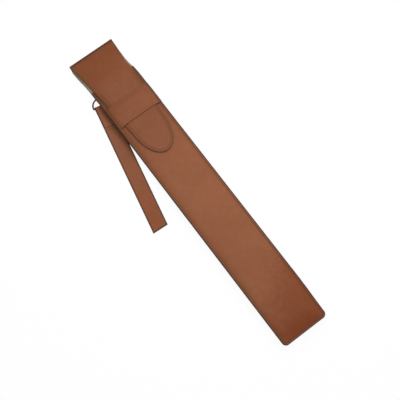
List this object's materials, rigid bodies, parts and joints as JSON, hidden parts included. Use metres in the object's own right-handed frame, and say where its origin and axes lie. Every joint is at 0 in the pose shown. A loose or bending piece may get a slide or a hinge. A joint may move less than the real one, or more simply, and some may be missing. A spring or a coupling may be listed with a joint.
{
  "type": "drum stick bag",
  "caption": "Long slim leather sheath for drum sticks, with a fold-over flap whose tongue tucks under a keeper band, and a hanging strap on a D-ring.",
  "frame": {"origin": "middle of the flat strip on the back panel that the bag rests on", "axes": "+X across the bag to its right seen from the front, +Y along the bag towards the top fold, +Z out of the front"},
  "size_m": [0.1079, 0.445, 0.0249],
  "materials": {
    "brown_leather": "satin, fine grain",
    "strap_leather": "satin, fine grain",
    "lining_cloth": "matt weave",
    "waxed_thread": "waxed",
    "gunmetal_steel": "dark plated"
  },
  "bodies": {
    "case": {"back_panel": "brown_leather", "back_lining": "lining_cloth", "front_panel": "brown_leather", "front_lining": "lining_cloth", "keeper_band": "brown_leather", "front_seam_thread": "waxed_thread", "back_seam_thread": "waxed_thread", "mouth_thread": "waxed_thread", "keeper_upper_thread": "waxed_thread", "keeper_lower_thread": "waxed_thread", "ring_tab": "brown_leather", "tab_thread": "waxed_thread"},
    "flap": {"flap": "brown_leather", "flap_lining": "lining_cloth", "flap_thread": "waxed_thread"},
    "ring": {"d_ring": "gunmetal_steel"},
    "strap": {"strap": "strap_leather", "strap_thread": "waxed_thread"}
  },
  "joints": [
    {"name": "flap_open", "type": "hinge", "parent": "case", "child": "flap", "pos_m": [0, 0.2196, 0.0035], "axis": [-1, 0, 0], "range_deg": [0, 160], "deforming": ["keeper_band", "keeper_upper_thread", "keeper_lower_thread"]},
    {"name": "ring_swing", "type": "hinge", "parent": "case", "child": "ring", "pos_m": [-0.02625, 0.16704, 0.00395], "axis": [0.9785, -0.2062, 0], "range_deg": [0, 75]},
    {"name": "strap_swing", "type": "hinge", "parent": "ring", "child": "strap", "pos_m": [-0.0286, 0.1559, 0.00235], "axis": [0.9785, -0.2062, 0], "range_deg": [0, 100]}
  ]
}
